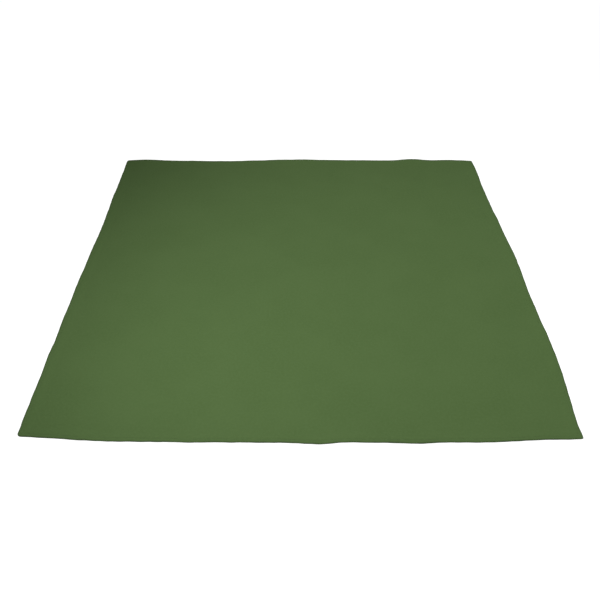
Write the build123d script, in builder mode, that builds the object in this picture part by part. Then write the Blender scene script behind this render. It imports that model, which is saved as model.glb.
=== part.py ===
"""A hemmed fabric ground sheet, lying flat.

One ply of brushed cloth covers the ground. On each of the four sides its edge is turned under twice, which
makes a hem of three plies, and the four hems meet in mitres at the corners. A lockstitch row holds each hem:
its needle thread lies on the top and its bobbin thread on the underside.

The cloth is one piece in real life. Here the ply on the ground and the four folded hems are nodes of their
own, and they join face to face.

Frame: millimetres, +Z up. The origin is on the ground, under the middle of the sheet. The sheet's width
runs along X and its depth along Y, and "front" is the side towards -Y.
"""

from build123d import *
import os

# ---- Driving sizes -------------------------------------------------------------------------------

sheet_width = 1500.0  # finished size along X, from fold to fold
sheet_depth = 1500.0  # finished size along Y, from fold to fold
cloth_thickness = 1.0  # one ply
ply_gap = 0.1  # air between two plies of a hem
hem_width = 12.5  # from the outer fold to the inner fold
raw_edge_gap = 0.5  # from the outer fold's centre to the tucked-in raw edge
slope_gap = 0.3  # from the inner fold to where the cloth starts down to the ground
slope_length = 20.0  # over which the cloth comes down to the ground
thread_diameter = 0.6
thread_clearance = 0.05  # round a thread in its groove
stitch_from_fold = 2.0  # from the inner fold to the stitch row

# ---- Sizes that follow ---------------------------------------------------------------------------

ply_pitch = cloth_thickness + ply_gap
tucked_ply_top = ply_pitch + cloth_thickness
top_ply_base = 2 * ply_pitch
hem_height = top_ply_base + cloth_thickness

outer_fold_radius = hem_height / 2  # to the cloth's outer face
inner_fold_radius = tucked_ply_top / 2  # to the cloth's outer face
outer_fold_x = outer_fold_radius  # the folds' centres, in from the edge of the sheet
inner_fold_x = hem_width - inner_fold_radius
raw_edge = outer_fold_x + raw_edge_gap
slope_start = hem_width + slope_gap
slope_end = slope_start + slope_length

thread_radius = thread_diameter / 2
groove_radius = thread_radius + thread_clearance
stitch_inset = hem_width - stitch_from_fold
needle_thread_z = hem_height  # sunk in the cloth by half
bobbin_thread_z = thread_radius + thread_clearance  # sunk in the cloth, just clear of the ground

# ---- The four sides, counter-clockwise seen from above -------------------------------------------

corners = [
    Vector(-sheet_width / 2, -sheet_depth / 2),
    Vector(sheet_width / 2, -sheet_depth / 2),
    Vector(sheet_width / 2, sheet_depth / 2),
    Vector(-sheet_width / 2, sheet_depth / 2),
]


class SheetSide:
    """One side of the sheet, which has the sheet on its left on the way from its start to its end."""

    def __init__(self, name, start, end):
        self.name = name
        self.length = (end - start).length
        along = (end - start).normalized()
        inward = along.rotate(Axis.Z, 90)
        # Across the hem, half way along: X runs in from the outer fold and Y runs up.
        self.section = Plane(origin=(start + end) / 2, x_dir=inward, z_dir=along)
        # The upright planes of the two mitres, which face this side.
        self.mitres = [Plane(origin=start, z_dir=along - inward), Plane(origin=end, z_dir=-along - inward)]


sides = [
    SheetSide("front", corners[0], corners[1]),
    SheetSide("right", corners[1], corners[2]),
    SheetSide("back", corners[2], corners[3]),
    SheetSide("left", corners[3], corners[0]),
]

# ---- The pieces ----------------------------------------------------------------------------------


def make_field():
    """The single ply on the ground, out to where the hems start to rise."""
    with BuildPart() as field:
        with BuildSketch(Plane.XY):
            Rectangle(sheet_width - 2 * slope_end, sheet_depth - 2 * slope_end)
        extrude(amount=cloth_thickness)
    return field.part


def make_hem(side):
    """The slope up from the ground, the top ply, the outer fold, and the two plies that are turned under."""
    with BuildPart() as hem:
        with BuildSketch(side.section):
            with BuildLine():
                over = Polyline(
                    (slope_end, 0),
                    (slope_end, cloth_thickness),
                    (slope_start, hem_height),
                    (outer_fold_x, hem_height),
                )
                ThreePointArc(over @ 1, (0, outer_fold_radius), (outer_fold_x, 0))
                Line((outer_fold_x, 0), (inner_fold_x, 0))
                ThreePointArc(
                    (inner_fold_x, 0),
                    (hem_width, inner_fold_radius),
                    (inner_fold_x, tucked_ply_top),
                )
                tucked = Polyline(
                    (inner_fold_x, tucked_ply_top),
                    (raw_edge, tucked_ply_top),
                    (raw_edge, ply_pitch),
                    (inner_fold_x, ply_pitch),
                )
                ThreePointArc(
                    tucked @ 1,
                    (inner_fold_x + ply_gap / 2, inner_fold_radius),
                    (inner_fold_x, cloth_thickness),
                )
                Line((inner_fold_x, cloth_thickness), (outer_fold_x, cloth_thickness))
                ThreePointArc(
                    (outer_fold_x, cloth_thickness),
                    (cloth_thickness, outer_fold_radius),
                    (outer_fold_x, top_ply_base),
                )
                Polyline((outer_fold_x, top_ply_base), (slope_start, top_ply_base), (slope_end, 0))
            make_face()
            with Locations((stitch_inset, needle_thread_z), (stitch_inset, bobbin_thread_z)):
                Circle(groove_radius, mode=Mode.SUBTRACT)
            with Locations((stitch_inset, 0)):
                Rectangle(2 * groove_radius, 2 * bobbin_thread_z, mode=Mode.SUBTRACT)
        extrude(amount=side.length / 2, both=True)
        for mitre in side.mitres:
            split(bisect_by=mitre, keep=Keep.TOP)
    return hem.part


def make_thread(side, height):
    """One thread of a stitch row, as a plain round run from mitre to mitre."""
    with BuildPart() as thread:
        with BuildSketch(side.section):
            with Locations((stitch_inset, height)):
                Circle(thread_radius)
        extrude(amount=side.length / 2, both=True)
        for mitre in side.mitres:
            split(bisect_by=mitre, keep=Keep.TOP)
    return thread.part


# ---- Build and write -----------------------------------------------------------------------------

pieces = {"ground_cloth": make_field()}
for side in sides:
    pieces[f"{side.name}_hem"] = make_hem(side)
    pieces[f"{side.name}_needle_thread"] = make_thread(side, needle_thread_z)
    pieces[f"{side.name}_bobbin_thread"] = make_thread(side, bobbin_thread_z)

os.makedirs("parts", exist_ok=True)
for name, piece in pieces.items():
    piece.label = name
    export_step(piece, f"parts/{name}.step")
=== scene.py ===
"""The hemmed ground sheet, laid out flat on a pale studio floor.

The cloth is made in the order in which it is sewn. It is cut flat and marked with its own flat
coordinates, its edges are turned under twice, it gets the thickness of one ply, and it settles on the
floor with slightly bowed sides, a few lifted ripples and small puckers along the hems. Two rows of
stitches go along each side, one on the top and one on the underside, and they lie on the same settled
cloth.

Lengths are in metres. The front of the sheet is towards -Y.
"""

import math

import bpy
from mathutils import Matrix, Vector, noise


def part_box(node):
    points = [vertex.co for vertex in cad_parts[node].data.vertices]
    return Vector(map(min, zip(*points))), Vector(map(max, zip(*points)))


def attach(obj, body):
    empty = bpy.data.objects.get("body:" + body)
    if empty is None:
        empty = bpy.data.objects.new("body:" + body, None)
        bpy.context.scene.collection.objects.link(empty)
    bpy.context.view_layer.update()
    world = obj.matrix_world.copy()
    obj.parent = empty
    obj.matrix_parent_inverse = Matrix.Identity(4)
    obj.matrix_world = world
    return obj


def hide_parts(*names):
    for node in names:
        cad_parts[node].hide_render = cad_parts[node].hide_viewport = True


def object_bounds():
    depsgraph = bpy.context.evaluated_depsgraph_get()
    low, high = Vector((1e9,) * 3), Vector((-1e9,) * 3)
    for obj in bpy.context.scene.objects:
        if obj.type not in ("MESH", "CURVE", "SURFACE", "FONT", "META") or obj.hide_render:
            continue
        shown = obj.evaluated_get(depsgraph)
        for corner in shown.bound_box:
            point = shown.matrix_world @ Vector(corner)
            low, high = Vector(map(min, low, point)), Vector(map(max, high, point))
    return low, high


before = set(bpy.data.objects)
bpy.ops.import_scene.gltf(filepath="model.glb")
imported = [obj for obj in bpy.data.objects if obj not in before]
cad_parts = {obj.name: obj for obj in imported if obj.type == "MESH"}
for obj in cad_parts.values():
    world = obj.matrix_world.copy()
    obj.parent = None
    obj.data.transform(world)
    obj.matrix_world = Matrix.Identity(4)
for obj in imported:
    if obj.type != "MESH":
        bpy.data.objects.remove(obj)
cad_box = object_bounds()

MM = 0.001

# ---- Places and sizes from the frame -------------------------------------------------------------

sheet_low, sheet_high = cad_box
half_width = (sheet_high[0] - sheet_low[0]) / 2
half_depth = (sheet_high[1] - sheet_low[1]) / 2

field_low, field_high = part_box("ground_cloth")
ply = field_high.z - field_low.z
slope_end = half_width - field_high.x  # in from the outer fold to where the hem starts to rise

hem_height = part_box("front_hem")[1].z

needle_low, needle_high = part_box("front_needle_thread")
thread_radius = (needle_high.y - needle_low.y) / 2
stitch_inset = (needle_high.y + needle_low.y) / 2 + half_depth

# ---- How the cloth lies --------------------------------------------------------------------------

FIELD_CELLS = 80  # across the middle of the sheet, each way
CUTS_PER_CELL = 3  # in the outermost edges, so that the hems are finer along the edge
CALM_INSET = 50 * MM  # the coarse middle of the sheet starts this far in from the edge
CALM_RINGS = (42 * MM, 36 * MM)  # two flat rings between it and the slope

STITCH_FROM_FOLD = 2 * MM
STITCH_SPREAD = 1.0 * MM  # from the stitches to the rings on both sides of them
HEM_PUFF = 0.12 * MM  # how far the hem's crest stands above its pressed height
STITCH_DIP = 0.07 * MM  # how far the stitches pull its top ply below its pressed height
BOBBIN_RISE = 0.25 * MM  # how far they pull its lowest ply off the floor
PRESSED_SHARE = 0.80  # of its thickness that the lowest ply keeps under the stitches

pressed_ply_middle = BOBBIN_RISE + PRESSED_SHARE * ply / 2
calm_half = (half_width - CALM_INSET, half_depth - CALM_INSET)

# Points across the hem, from the field out.
SLOPE = (0.0, 0.17, 0.34, 0.51, 0.68, 0.84)  # shares of its width
SLOPE_RISE = (-0.1, 0.9)  # the shares between which it rises, as a soft S
SEAM_LIPS = (0.05 * MM, 0.08 * MM)  # above the stitches, on the field's side and on the crest's
# The crest: how far in from the outer fold, and its share of the puff.
CREST = ((8.2 * MM, 0.65), (6.4 * MM, 1.0), (4.4 * MM, 0.9), (2.8 * MM, 0.4))
OUTER_FOLD = (75, 45, 15, -15, -45, -75)  # degrees round its centre, as for the inner fold
# The lowest ply's flat rings, next to the outer fold and next to the stitches.
LOWEST_PLY = (4.5 * MM, stitch_inset - 1.4 * MM)
INNER_FOLD = (-75, -25, 25, 75)
INNER_FOLD_RADIUS = 0.55 * ply  # to the middle of the ply
# The tucked ply: how far in from the outer fold, and how much it puffs. The last is the raw edge.
TUCKED_PLY = ((stitch_inset - STITCH_SPREAD, 0.0), (6.4 * MM, 0.2 * MM), (2.9 * MM, 0.1 * MM))

# Each side's outline against a straight edge: how far out it lies at the corners, and in the middle.
SIDE_BOWS = {
    "front": (-12 * MM, 9 * MM),
    "right": (-8 * MM, 4 * MM),
    "back": (-3 * MM, 1 * MM),
    "left": (-2 * MM, 0 * MM),
}
# Short swells along a side: the side, the swell's middle and half length, how far it pushes out, and
# how high it lifts.
SWELLS = [
    ("front", 0.045, 0.050, 5 * MM, 0.5 * MM),
    ("front", 0.320, 0.060, 4 * MM, 0.5 * MM),
    ("front", 0.520, 0.070, 3 * MM, 0),
    ("front", 0.720, 0.070, 6 * MM, 0),
    ("back", -0.670, 0.080, 2 * MM, 4.5 * MM),
    ("back", -0.320, 0.180, -4 * MM, 0),
    ("back", -0.020, 0.140, 3 * MM, 3.5 * MM),
    ("back", 0.220, 0.140, 3 * MM, 0),
    ("back", 0.490, 0.060, 4 * MM, 5 * MM),
    ("back", 0.660, 0.090, 5 * MM, 1 * MM),
    ("left", 0.230, 0.160, -5 * MM, 0),
    ("right", 0.470, 0.180, -8 * MM, 0),
    ("right", 0.020, 0.150, 7 * MM, 0),
    ("right", -0.420, 0.200, 9 * MM, 1.5 * MM),
]
# Which way each corner is, the radius that it is rounded to, how far it is pulled outwards, and over
# what distance.
CORNERS = [
    ((-1, -1), 10 * MM, 2 * MM, 25 * MM),
    ((1, -1), 3 * MM, 4 * MM, 28 * MM),
    ((-1, 1), 9 * MM, 0, 20 * MM),
    ((1, 1), 7 * MM, -1 * MM, 20 * MM),
]
LIFT_REACH = 75 * MM  # how far in from the edge a lifted swell dies out

# Unevenness, as size, wavelength and which slice of the noise. Each side reads its own stretch of it.
SIDE_SEEDS = {"front": 3.7, "right": 11.2, "back": 23.9, "left": 31.4}
EDGE_WAVES = ((2.0 * MM, 0.085, 0.0), (0.9 * MM, 0.024, 5.0))
CLOTH_WAVES = ((1.0, 0.21, 1.7), (0.5, 0.075, 8.1))
CLOTH_WAVE_HEIGHT = 0.9 * MM
PUCKERS = ((1.0, 0.013, 2.0), (0.6, 0.029, 9.0))
PUCKER_SHARE = 0.16  # of the hem's height
PUCKER_REACH = 6.5 * MM  # across the hem from the stitches

STITCH_PITCH = 4 * MM
STITCH_GAP = 0.5 * MM  # between two stitches of a row, where the thread goes through the cloth
STITCH_FACETS = 6
# Along a stitch: the share of its length, then its height and radius as shares of the thread's radius.
STITCH_SHAPE = (
    (0.0, -0.9, 0.7),
    (0.12, 0.0, 0.95),
    (0.35, 0.45, 1.0),
    (0.65, 0.45, 1.0),
    (0.88, 0.0, 0.95),
    (1.0, -0.9, 0.7),
)
NEEDLE_RISE = 0.4  # of the thread's radius, from the dipped cloth to a needle stitch's base
BOBBIN_BASE = 1.5  # of the thread's radius, from the floor to a bobbin stitch's base
SIDE_TURNS = {"front": 0, "right": 90, "back": 180, "left": 270}  # degrees from the front

# ---- Modelling helpers ---------------------------------------------------------------------------


def smooth(low, high, x):
    """0 up to low, 1 from high on, and a smooth step between."""
    t = min(max((x - low) / (high - low), 0.0), 1.0)
    return t * t * (3 - 2 * t)


def only(piece):
    """Selects one piece and makes it active."""
    bpy.ops.object.select_all(action="DESELECT")
    piece.select_set(True)
    bpy.context.view_layer.objects.active = piece


def apply_modifier(piece, kind, **settings):
    """Adds a modifier with these settings and applies it at once."""
    modifier = piece.modifiers.new(kind.lower(), kind)
    for key, value in settings.items():
        setattr(modifier, key, value)
    only(piece)
    bpy.ops.object.modifier_apply(modifier=modifier.name)


def finish_piece(piece, material, slot, *nodes):
    """Gives a piece its material and smooth shading, hangs it on the root body, and hides the CAD nodes it
    stands for.
    """
    piece.data.materials.clear()
    piece.data.materials.append(material)
    only(piece)
    bpy.ops.object.shade_smooth()
    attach(piece, "root")
    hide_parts(*nodes)


# ---- How a point of the flat, square sheet moves as the sheet settles ----------------------------


def insets_of(x, y):
    """How far in from each side a point lies."""
    return {
        "front": half_depth + y,
        "right": half_width - x,
        "back": half_depth - y,
        "left": half_width + x,
    }


def runs_along_x(side):
    """Whether a side runs along X, and not along Y."""
    return side in ("front", "back")


def waves(place, seed, sizes):
    """A sum of smooth noises along a line, at several sizes and wavelengths."""
    return sum(size * noise.noise((place / length, seed, slice_)) for size, length, slice_ in sizes)


def outline(name, along):
    """How far outwards a side lies from a straight edge, at a place along it."""
    half = half_width if runs_along_x(name) else half_depth
    corner, middle = SIDE_BOWS[name]
    t = min(abs(along) / half, 1.0)
    out = corner + (middle - corner) * (1 - t**4)
    for side, centre, reach, push, lift in SWELLS:
        if side == name:
            out += push * math.exp(-(((along - centre) / reach) ** 2))
    return out + waves(along, SIDE_SEEDS[name], EDGE_WAVES)


def lift_at(x, y):
    """How high the cloth stands off the floor: lifted swells at the edges, and a faint unevenness."""
    insets = insets_of(x, y)
    height = 0.0
    for side, centre, reach, push, lift in SWELLS:
        along = x if runs_along_x(side) else y
        fade = 1 - smooth(0, LIFT_REACH, insets[side])
        height += lift * math.exp(-(((along - centre) / reach) ** 2)) * fade
    uneven = sum(
        size * noise.noise((x / length, y / length, slice_)) for size, length, slice_ in CLOTH_WAVES
    )
    return height + CLOTH_WAVE_HEIGHT * max(0.0, uneven)


def pucker(name, inset, along):
    """How the stitches gather the hem: up or down, as a share of its height, most along the seam."""
    near = math.exp(-(((inset - stitch_inset) / PUCKER_REACH) ** 2))
    return PUCKER_SHARE * waves(along, SIDE_SEEDS[name], PUCKERS) * near


def rounded(x, y):
    """Rounds a corner off: folded cloth doesn't come out quite sharp there."""
    for (to_right, to_back), radius, pull, reach in CORNERS:
        across = (to_right * x - half_width) / radius + 1
        along = (to_back * y - half_depth) / radius + 1
        if across > 0 and along > 0:
            x = to_right * (half_width + radius * (across * math.sqrt(1 - along**2 / 2) - 1))
            y = to_back * (half_depth + radius * (along * math.sqrt(1 - across**2 / 2) - 1))
    return x, y


def settled(point):
    """Where a point of the flat, square, hemmed sheet lies once the sheet has settled."""
    x, y, z = point
    insets = insets_of(x, y)
    nearest = min(insets, key=insets.get)
    along = x if runs_along_x(nearest) else y
    z *= 1 + pucker(nearest, insets[nearest], along) * smooth(0, ply, z)
    z += lift_at(x, y)
    right = (1 + x / half_width) / 2
    back = (1 + y / half_depth) / 2
    moved = Vector((*rounded(x, y), z))
    moved.x += right * outline("right", y) - (1 - right) * outline("left", y)
    moved.y += back * outline("back", x) - (1 - back) * outline("front", x)
    for (to_right, to_back), radius, pull, reach in CORNERS:
        from_corner = math.hypot(x - to_right * half_width, y - to_back * half_depth)
        shift = pull * math.exp(-((from_corner / reach) ** 2)) / math.sqrt(2)
        moved.x += to_right * shift
        moved.y += to_back * shift
    return moved


def settle(piece):
    """Moves every point of a piece to where it lies on the settled sheet."""
    for vertex in piece.data.vertices:
        vertex.co = settled(vertex.co)
    piece.data.update()


# ---- The cloth -----------------------------------------------------------------------------------

CUT_MAP = "cut"
BAKE_MAP = "OFBake"
UPPER_FACE_SHARE = 0.62  # of the height of the texture, and the lower face gets most of the rest
RAW_EDGE_SHARE = 0.01
MAP_GAP = 0.004  # between them


def round_fold(centre, height, radius, angles, outwards):
    """The points of a fold, seen along the hem: a half circle that bulges outwards or inwards."""
    turns = [math.radians(angle) for angle in angles]
    way = -1 if outwards else 1
    return [(centre + way * radius * math.cos(turn), height + radius * math.sin(turn)) for turn in turns]


def hem_profile():
    """The middle of the ply across a hem, from the field out: distance in from the fold, and height."""
    flat = ply / 2
    pressed = hem_height - ply / 2
    stitched = pressed - STITCH_DIP
    hem_width = stitch_inset + STITCH_FROM_FOLD
    rise = slope_end - hem_width
    profile = [(inset, flat) for inset in CALM_RINGS]
    for share in SLOPE:
        profile.append((slope_end - share * rise, flat + (pressed - flat) * smooth(*SLOPE_RISE, share)))
    profile.append((stitch_inset + STITCH_SPREAD, stitched + SEAM_LIPS[0]))
    profile.append((stitch_inset, stitched))
    profile.append((stitch_inset - STITCH_SPREAD, stitched + SEAM_LIPS[1]))
    profile += [(inset, pressed + share * HEM_PUFF) for inset, share in CREST]
    radius = (pressed - flat) / 2
    profile += round_fold(radius + ply / 2, radius + ply / 2, radius, OUTER_FOLD, outwards=True)
    profile += [(inset, flat) for inset in LOWEST_PLY]
    profile.append((stitch_inset, pressed_ply_middle))
    centre = hem_width - ply / 2 - INNER_FOLD_RADIUS
    height = flat + INNER_FOLD_RADIUS
    profile += round_fold(centre, height, INNER_FOLD_RADIUS, INNER_FOLD, outwards=False)
    profile += [(inset, flat + 2 * INNER_FOLD_RADIUS + puff) for inset, puff in TUCKED_PLY]
    return profile


def flat_distances(profile):
    """How far out of the middle field each point of the profile lies before the hem is folded."""
    distances = []
    total = 0.0
    previous = (CALM_INSET, ply / 2)
    for point in profile:
        total += math.dist(previous, point)
        distances.append(total)
        previous = point
    return distances


def select_outline():
    """Selects the outer edges of the piece that is being edited."""
    bpy.ops.mesh.select_all(action="DESELECT")
    bpy.ops.mesh.select_non_manifold(
        use_wire=False, use_multi_face=False, use_non_contiguous=False, use_verts=False
    )


def cut_cloth(distances):
    """The flat cut cloth: an even grid, and a finer ring round it for each point of the hem's profile."""
    bpy.ops.object.select_all(action="DESELECT")
    bpy.ops.mesh.primitive_grid_add(x_subdivisions=FIELD_CELLS, y_subdivisions=FIELD_CELLS, size=2)
    cloth = bpy.context.object
    cloth.name = "ground_cloth_hemmed"
    bpy.ops.object.mode_set(mode="EDIT")
    bpy.ops.transform.resize(value=(*calm_half, 1), center_override=(0, 0, 0))
    bpy.ops.mesh.select_mode(type="EDGE")
    select_outline()
    bpy.ops.mesh.subdivide(number_cuts=CUTS_PER_CELL)
    select_outline()
    reached = 0.0
    for distance in distances:
        bpy.ops.mesh.extrude_edges_move()
        grow = [(half + distance) / (half + reached) for half in calm_half]
        bpy.ops.transform.resize(value=(*grow, 1), center_override=(0, 0, 0))
        reached = distance
    bpy.ops.mesh.select_all(action="SELECT")
    bpy.ops.mesh.normals_make_consistent(inside=False)
    bpy.ops.object.mode_set(mode="OBJECT")
    return cloth


def mark_flat_coordinates(cloth):
    """A UV map in metres of cut cloth, so that the weave runs on through the folds."""
    while cloth.data.uv_layers:
        cloth.data.uv_layers.remove(cloth.data.uv_layers[0])
    layer = cloth.data.uv_layers.new(name=CUT_MAP)
    for loop in cloth.data.loops:
        layer.data[loop.index].uv = cloth.data.vertices[loop.vertex_index].co.xy


def fold_hems(cloth, profile, distances):
    """Turns the rings up, over, under and back in, and marks all the cloth that isn't pressed thin."""
    pressed_ring = profile.index((stitch_inset, pressed_ply_middle))
    full = cloth.vertex_groups.new(name="full thickness")
    for vertex in cloth.data.vertices:
        out = max(abs(vertex.co.x) - calm_half[0], abs(vertex.co.y) - calm_half[1])
        ring = min(range(len(distances)), key=lambda i: abs(distances[i] - out))
        if out < distances[0] / 2:
            vertex.co.z = ply / 2
        else:
            inset, height = profile[ring]
            vertex.co.x *= (half_width - inset) / (calm_half[0] + distances[ring])
            vertex.co.y *= (half_depth - inset) / (calm_half[1] + distances[ring])
            vertex.co.z = height
        if ring != pressed_ring:
            full.add([vertex.index], 1.0, "REPLACE")
    cloth.data.update()


def mark_texture_layout(cloth, faces_a_side, points_a_side, cut_size):
    """A UV map for baked textures: the cut cloth's upper face, lower face and raw edge, stacked up."""
    cloth.data.uv_layers.new(name=BAKE_MAP, do_init=False)
    flat, layout = cloth.data.uv_layers[CUT_MAP].data, cloth.data.uv_layers[BAKE_MAP].data
    lower_base = UPPER_FACE_SHARE
    edge_base = 1 - RAW_EDGE_SHARE
    for face in cloth.data.polygons:
        corners = [(corner, *flat[corner].uv) for corner in face.loop_indices]
        x = sum(cut_x for corner, cut_x, cut_y in corners) / len(corners)
        y = sum(cut_y for corner, cut_x, cut_y in corners) / len(corners)
        for corner, cut_x, cut_y in corners:
            across, up = cut_x / cut_size[0] + 0.5, cut_y / cut_size[1] + 0.5
            if face.index < faces_a_side:
                up *= lower_base - MAP_GAP
            elif face.index < 2 * faces_a_side:
                up = lower_base + up * (edge_base - lower_base - MAP_GAP)
            else:
                strip = (0 if x > 0 else 1) if abs(x) > abs(y) else (2 if y > 0 else 3)
                is_upper = cloth.data.loops[corner].vertex_index < points_a_side
                across = (strip + (up if strip < 2 else across)) / 4
                up = 1.0 if is_upper else edge_base
            layout[corner].uv = (across, up)


def make_cloth(material):
    """The whole cloth as one piece, and the size that it is cut to."""
    profile = hem_profile()
    distances = flat_distances(profile)
    cut_size = tuple(2 * (half + distances[-1]) for half in calm_half)
    cloth = cut_cloth(distances)
    mark_flat_coordinates(cloth)
    fold_hems(cloth, profile, distances)
    faces_a_side, points_a_side = len(cloth.data.polygons), len(cloth.data.vertices)
    apply_modifier(
        cloth, "SOLIDIFY", thickness=ply, offset=0, use_even_offset=False, use_rim=True,
        vertex_group="full thickness", thickness_vertex_group=PRESSED_SHARE,
    )
    mark_texture_layout(cloth, faces_a_side, points_a_side, cut_size)
    settle(cloth)
    finish_piece(cloth, material, "cloth", "ground_cloth", "front_hem", "right_hem", "back_hem", "left_hem")
    return cloth, cut_size


# ---- The stitches --------------------------------------------------------------------------------


def make_stitch(name):
    """One stitch along X from the origin, as a short arch whose ends go down into the cloth."""
    length = STITCH_PITCH - STITCH_GAP
    start, start_height, start_radius = STITCH_SHAPE[0]
    bpy.ops.object.select_all(action="DESELECT")
    bpy.ops.mesh.primitive_circle_add(
        vertices=STITCH_FACETS,
        radius=thread_radius * start_radius,
        fill_type="NGON",
        location=(start * length, 0, start_height * thread_radius),
        rotation=(0, math.pi / 2, 0),
    )
    stitch = bpy.context.object
    stitch.name = name
    bpy.ops.object.transform_apply(location=True, rotation=True, scale=True)
    bpy.ops.object.mode_set(mode="EDIT")
    bpy.ops.mesh.select_all(action="SELECT")
    for before, after in zip(STITCH_SHAPE, STITCH_SHAPE[1:]):
        step = ((after[0] - before[0]) * length, 0, (after[1] - before[1]) * thread_radius)
        bpy.ops.mesh.extrude_region_move(TRANSFORM_OT_translate={"value": step})
        place = (after[0] * length, 0, after[1] * thread_radius)
        grow = after[2] / before[2]
        bpy.ops.transform.resize(value=(grow, grow, grow), center_override=place)
    bpy.ops.mesh.select_all(action="SELECT")
    bpy.ops.mesh.normals_make_consistent(inside=False)
    bpy.ops.object.mode_set(mode="OBJECT")
    return stitch


def make_stitch_row(side, under, material):
    """A row of stitches along one side, on the top or on the underside."""
    kind = "bobbin" if under else "needle"
    row = make_stitch(f"{side}_{kind}_stitches")
    half_length, across = (half_width, half_depth) if runs_along_x(side) else (half_depth, half_width)
    reach = half_length - stitch_inset
    count = round(2 * reach / STITCH_PITCH)
    pitch = 2 * reach / count
    apply_modifier(
        row, "ARRAY", count=count, use_relative_offset=False, use_constant_offset=True,
        constant_offset_displace=(pitch, 0, 0),
    )
    needle_base = hem_height - STITCH_DIP + NEEDLE_RISE * thread_radius
    height = BOBBIN_BASE * thread_radius if under else needle_base
    flip = Matrix.Scale(-1, 4, (0, 0, 1)) if under else Matrix.Identity(4)
    place = Matrix.Translation((-reach + STITCH_GAP / 2, stitch_inset - across, height))
    row.data.transform(Matrix.Rotation(math.radians(SIDE_TURNS[side]), 4, "Z") @ place @ flip)
    if under:
        row.data.flip_normals()
    settle(row)
    finish_piece(row, material, "thread", f"{side}_{kind}_thread")
    return row


# ---- Materials -----------------------------------------------------------------------------------

CLOTH_DEEP = (0.078, 0.136, 0.042)
CLOTH_PALE = (0.084, 0.144, 0.046)
CLOTH_TUFT = (0.090, 0.153, 0.050)
CLOTH_FIBRE = (0.076, 0.133, 0.040)
# Painted shade: the dark colour that the folded edge is darkened towards, standing in for the shade along
# its rim.
CLOTH_EDGE_SHADE = (0.048, 0.084, 0.028)
THREAD_DEEP = (0.088, 0.145, 0.052)
THREAD_PALE = (0.110, 0.172, 0.068)
EDGE_SHADE_WIDTH = 4 * MM  # of the band of painted shade along the folded edge
GRAINS_PER_METRE = 850.0
WEAVE_PER_METRE = 1100.0
THREAD_WANDER = 3 * MM  # how far a thread of the weave strays from its straight line
WANDERS_PER_METRE = 45.0
SPUN_PER_METRE = 5000.0  # fibres of the sewing thread
TWIST_SCALE = 450.0


def new_material(name):
    """A material with its nodes, links and shader."""
    material = bpy.data.materials.new(name)
    material.use_nodes = True
    nodes, links = material.node_tree.nodes, material.node_tree.links
    return material, nodes, links, nodes["Principled BSDF"]


def math_node(nodes, links, operation, *values):
    """The result of a Math node whose inputs are numbers or other nodes' outputs."""
    node = nodes.new("ShaderNodeMath")
    node.operation = operation
    for socket, value in zip(node.inputs, values):
        if isinstance(value, (int, float)):
            socket.default_value = value
        else:
            links.new(value, socket)
    return node.outputs[0]


def new_group(name, inputs, outputs):
    """A node group, with its nodes, its links and the nodes for what goes in and what comes out."""
    group = bpy.data.node_groups.new(name, "ShaderNodeTree")
    for socket, kind, value in inputs:
        made = group.interface.new_socket(name=socket, in_out="INPUT", socket_type=kind)
        if value is not None:
            made.default_value = value
    for socket in outputs:
        group.interface.new_socket(name=socket, in_out="OUTPUT", socket_type="NodeSocketFloat")
    given, result = group.nodes.new("NodeGroupInput"), group.nodes.new("NodeGroupOutput")
    return group, group.nodes, group.links, given, result


def fibre_group():
    """Spun fibre: a fine grain, tufts a few grains wide, and patches and clouds of differing nap."""
    group, nodes, links, given, result = new_group(
        "spun fibre",
        [("Vector", "NodeSocketVector", None), ("Grains per metre", "NodeSocketFloat", 900.0)],
        ["Grain", "Tufts", "Patches", "Clouds"],
    )
    scales = (("Grain", 1.0, 2.0), ("Tufts", 0.16, 3.0), ("Patches", 0.04, 3.0), ("Clouds", 0.006, 4.0))
    for name, share, detail in scales:
        texture = nodes.new("ShaderNodeTexNoise")
        texture.inputs["Detail"].default_value = detail
        texture.inputs["Roughness"].default_value = 0.6
        links.new(given.outputs["Vector"], texture.inputs["Vector"])
        scale = math_node(nodes, links, "MULTIPLY", given.outputs["Grains per metre"], share)
        links.new(scale, texture.inputs["Scale"])
        links.new(texture.outputs["Fac"], result.inputs[name])
    return group


def weave_group():
    """A close plain weave: warp and weft pass over each other in turn, and neither runs quite straight."""
    group, nodes, links, given, result = new_group(
        "close weave",
        [("Vector", "NodeSocketVector", None), ("Threads per metre", "NodeSocketFloat", 1000.0)],
        ["Height"],
    )
    drift = nodes.new("ShaderNodeTexNoise")
    drift.inputs["Scale"].default_value = WANDERS_PER_METRE
    links.new(given.outputs["Vector"], drift.inputs["Vector"])
    wander = nodes.new("ShaderNodeVectorMath")
    wander.operation = "MULTIPLY_ADD"
    links.new(drift.outputs["Color"], wander.inputs[0])
    wander.inputs[1].default_value = (THREAD_WANDER, THREAD_WANDER, THREAD_WANDER)
    links.new(given.outputs["Vector"], wander.inputs[2])
    split = nodes.new("ShaderNodeSeparateXYZ")
    links.new(wander.outputs[0], split.inputs[0])
    turn = math_node(nodes, links, "MULTIPLY", given.outputs["Threads per metre"], math.pi)
    warp = math_node(nodes, links, "SINE", math_node(nodes, links, "MULTIPLY", split.outputs["X"], turn))
    weft = math_node(nodes, links, "SINE", math_node(nodes, links, "MULTIPLY", split.outputs["Y"], turn))
    crossing = math_node(nodes, links, "MULTIPLY", warp, weft)
    half = math_node(nodes, links, "MULTIPLY_ADD", crossing, 0.5, 0.5)
    links.new(half, result.inputs["Height"])
    return group


def place_group(nodes, links, group, vector, **values):
    """Uses a node group at a vector, with other inputs given by name, and _ for each space in a name."""
    node = nodes.new("ShaderNodeGroup")
    node.node_tree = group
    links.new(vector, node.inputs["Vector"])
    for name, value in values.items():
        node.inputs[name.replace("_", " ")].default_value = value
    return node


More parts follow.
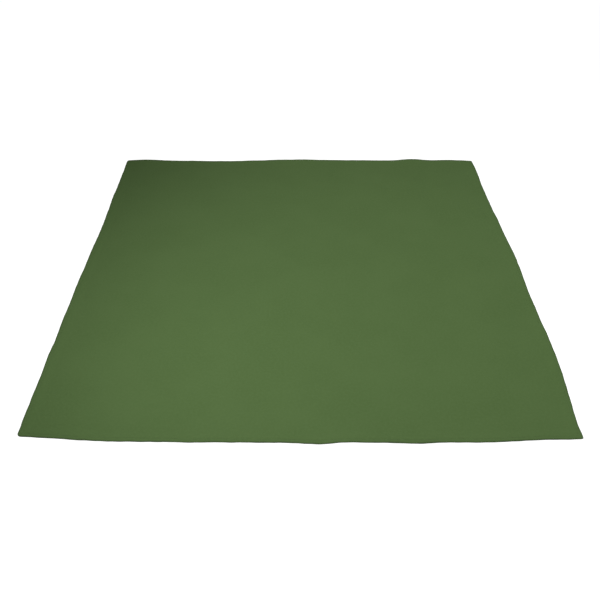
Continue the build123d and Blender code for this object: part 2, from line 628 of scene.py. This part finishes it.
def mix_colour(nodes, links, share, first, second):
    """A mix of two colours, each a constant or another node's output."""
    mix = nodes.new("ShaderNodeMix")
    mix.data_type = "RGBA"
    links.new(share, mix.inputs["Factor"])
    for socket, value in ((mix.inputs["A"], first), (mix.inputs["B"], second)):
        if isinstance(value, tuple):
            socket.default_value = (*value, 1)
        else:
            links.new(value, socket)
    return mix.outputs["Result"]


def ranged(nodes, links, value, from_low, from_high, to_low=0.0, to_high=1.0):
    """A value carried from one range to another in a smooth step."""
    node = nodes.new("ShaderNodeMapRange")
    node.interpolation_type = "SMOOTHSTEP"
    links.new(value, node.inputs["Value"])
    node.inputs["From Min"].default_value = from_low
    node.inputs["From Max"].default_value = from_high
    node.inputs["To Min"].default_value = to_low
    node.inputs["To Max"].default_value = to_high
    return node.outputs["Result"]


def cloth_material(fibre, weave):
    """Brushed moss-green cloth: a matte nap over a close weave, with painted shade along the folded edge.
    """
    material, nodes, links, shader = new_material("moss green cloth")
    cut = nodes.new("ShaderNodeUVMap")
    cut.uv_map = CUT_MAP
    place = cut.outputs["UV"]
    nap = place_group(nodes, links, fibre, place, Grains_per_metre=GRAINS_PER_METRE)
    threads = place_group(nodes, links, weave, place, Threads_per_metre=WEAVE_PER_METRE)

    clouds = ranged(nodes, links, nap.outputs["Clouds"], 0.3, 0.7)
    clouded = mix_colour(nodes, links, clouds, CLOTH_DEEP, CLOTH_PALE)
    tufts = ranged(nodes, links, nap.outputs["Tufts"], 0.35, 0.75, 0.0, 0.65)
    tufted = mix_colour(nodes, links, tufts, clouded, CLOTH_TUFT)
    grains = ranged(nodes, links, nap.outputs["Grain"], 0.45, 0.75, 0.0, 0.30)
    grained = mix_colour(nodes, links, grains, tufted, CLOTH_FIBRE)

    split = nodes.new("ShaderNodeSeparateXYZ")
    links.new(place, split.inputs[0])
    across = [
        math_node(nodes, links, "SUBTRACT", math_node(nodes, links, "ABSOLUTE", split.outputs[axis]), half)
        for axis, half in (("X", half_width), ("Y", half_depth))
    ]
    past_edge = math_node(nodes, links, "MAXIMUM", *across)
    off_edge = math_node(nodes, links, "ABSOLUTE", past_edge)
    # Painted shade: the cloth is darkened in patches towards the outer fold, where shade falls along the
    # rim.
    at_fold = ranged(nodes, links, off_edge, 0.4 * EDGE_SHADE_WIDTH, 1.6 * EDGE_SHADE_WIDTH, 1.0, 0.0)
    patchy = ranged(nodes, links, nap.outputs["Patches"], 0.35, 0.65, 0.25, 0.65)
    edge_shade = math_node(nodes, links, "MULTIPLY", at_fold, patchy)
    coloured = mix_colour(nodes, links, edge_shade, grained, CLOTH_EDGE_SHADE)
    links.new(coloured, shader.inputs["Base Color"])
    links.new(ranged(nodes, links, nap.outputs["Tufts"], 0.3, 0.7, 0.97, 0.88), shader.inputs["Roughness"])

    height = math_node(nodes, links, "MULTIPLY_ADD", nap.outputs["Grain"], 0.5, threads.outputs["Height"])
    height = math_node(nodes, links, "MULTIPLY_ADD", nap.outputs["Tufts"], 1.2, height)
    bump = nodes.new("ShaderNodeBump")
    bump.inputs["Strength"].default_value = 0.25
    bump.inputs["Distance"].default_value = 0.3 * MM
    links.new(height, bump.inputs["Height"])
    links.new(bump.outputs["Normal"], shader.inputs["Normal"])

    shader.inputs["Specular IOR Level"].default_value = 0.15
    shader.inputs["Sheen Weight"].default_value = 0.05
    shader.inputs["Sheen Roughness"].default_value = 0.6
    shader.inputs["Sheen Tint"].default_value = (0.75, 0.9, 0.65, 1)
    return material


def thread_material(fibre):
    """Spun sewing thread, a shade lighter than the cloth."""
    material, nodes, links, shader = new_material("moss green thread")
    place = nodes.new("ShaderNodeTexCoord").outputs["Object"]
    spun = place_group(nodes, links, fibre, place, Grains_per_metre=SPUN_PER_METRE)
    twist = nodes.new("ShaderNodeTexWave")
    twist.bands_direction = "DIAGONAL"
    twist.inputs["Scale"].default_value = TWIST_SCALE
    twist.inputs["Distortion"].default_value = 0.6
    links.new(place, twist.inputs["Vector"])
    tufts = ranged(nodes, links, spun.outputs["Tufts"], 0.3, 0.7)
    colour = mix_colour(nodes, links, tufts, THREAD_DEEP, THREAD_PALE)
    links.new(colour, shader.inputs["Base Color"])
    links.new(ranged(nodes, links, spun.outputs["Grain"], 0.3, 0.7, 0.62, 0.8), shader.inputs["Roughness"])
    bump = nodes.new("ShaderNodeBump")
    bump.inputs["Strength"].default_value = 0.4
    bump.inputs["Distance"].default_value = 0.1 * MM
    links.new(twist.outputs["Fac"], bump.inputs["Height"])
    links.new(bump.outputs["Normal"], shader.inputs["Normal"])
    shader.inputs["Specular IOR Level"].default_value = 0.3
    return material


# ---- The studio ----------------------------------------------------------------------------------

AMBIENT = 0.05
LIGHT_RADIUS = 0.25
FLOOR_SIZE = 80
FLOOR_DROP = 0.2 * MM  # from the sheet down to the floor
FLOOR_SHADE = 0.2
FLOOR_GLOW = 1.0  # what keeps the floor white to the camera where little light falls on it

CAMERA_LENS = 40.2  # in millimetres, as the sensor's width
CAMERA_SENSOR = 36
CAMERA_PLACE = (0.0038, -1.8539, 1.4196)
CAMERA_DOWN = math.radians(40.31)
CAMERA_TURNED = math.radians(0.15)
CAMERA_ROLLED = math.radians(-0.08)


def make_floor():
    """A wide pale floor, just below the cloth."""
    bpy.ops.object.select_all(action="DESELECT")
    bpy.ops.mesh.primitive_plane_add(size=FLOOR_SIZE, location=(0, 0, sheet_low[2] - FLOOR_DROP))
    floor = bpy.context.object
    floor.name = "studio_floor"
    material, nodes, links, shader = new_material("pale floor")
    shader.inputs["Base Color"].default_value = (FLOOR_SHADE, FLOOR_SHADE, FLOOR_SHADE, 1)
    shader.inputs["Roughness"].default_value = 0.9
    shader.inputs["Specular IOR Level"].default_value = 0.0
    shader.inputs["Emission Color"].default_value = (1, 1, 1, 1)
    seen = nodes.new("ShaderNodeLightPath").outputs["Is Camera Ray"]
    links.new(math_node(nodes, links, "MULTIPLY", seen, FLOOR_GLOW), shader.inputs["Emission Strength"])
    floor.data.materials.append(material)
    return floor


def make_light(name, place, aim, cone, power):
    """A large soft spot, in watts: its light fades evenly from the middle of its cone, in degrees."""
    light = bpy.data.lights.new(name, "SPOT")
    light.spot_size = 2 * math.radians(cone)
    light.spot_blend = 1
    light.shadow_soft_size = LIGHT_RADIUS
    light.energy = power
    holder = bpy.data.objects.new(name, light)
    holder.location = place
    holder.rotation_euler = (Vector(aim) - Vector(place)).to_track_quat("-Z", "Y").to_euler()
    bpy.context.scene.collection.objects.link(holder)


def make_world():
    """A white surround that gives only a little light of its own."""
    world = bpy.data.worlds.new("studio")
    world.use_nodes = True
    nodes, links = world.node_tree.nodes, world.node_tree.links
    background = nodes["Background"]
    background.inputs["Color"].default_value = (1, 1, 1, 1)
    seen = nodes.new("ShaderNodeLightPath").outputs["Is Camera Ray"]
    strength = math_node(nodes, links, "MULTIPLY_ADD", seen, 1 - AMBIENT, AMBIENT)
    links.new(strength, background.inputs["Strength"])
    bpy.context.scene.world = world


def make_camera():
    """A standing person's view from in front of the sheet."""
    camera = bpy.data.cameras.new("camera")
    camera.lens = CAMERA_LENS
    camera.sensor_width = CAMERA_SENSOR
    holder = bpy.data.objects.new("camera", camera)
    holder.location = CAMERA_PLACE
    turn = Matrix.Rotation(CAMERA_TURNED, 3, "Z")
    tilt = Matrix.Rotation(math.pi / 2 - CAMERA_DOWN, 3, "X")
    roll = Matrix.Rotation(CAMERA_ROLLED, 3, "Z")
    holder.rotation_euler = (turn @ tilt @ roll).to_euler()
    bpy.context.scene.collection.objects.link(holder)
    bpy.context.scene.camera = holder


# ---- Make it all ---------------------------------------------------------------------------------

bpy.context.scene.view_settings.view_transform = "Standard"
make_camera()
make_world()
make_light(
    "overhead_soft_spot", place=(0.182, -0.412, 3.5), aim=(0.453, -0.091, 0), cone=33.3, power=454
)
make_light("front_soft_spot", place=(-0.50, -0.70, 1.0), aim=(-0.60, -0.59, 0), cone=55.9, power=10.7)
floor = make_floor()

fibre = fibre_group()
cloth, cut_size = make_cloth(cloth_material(fibre, weave_group()))
thread = thread_material(fibre)
rows = [make_stitch_row(side, under, thread) for side in SIDE_TURNS for under in (False, True)]
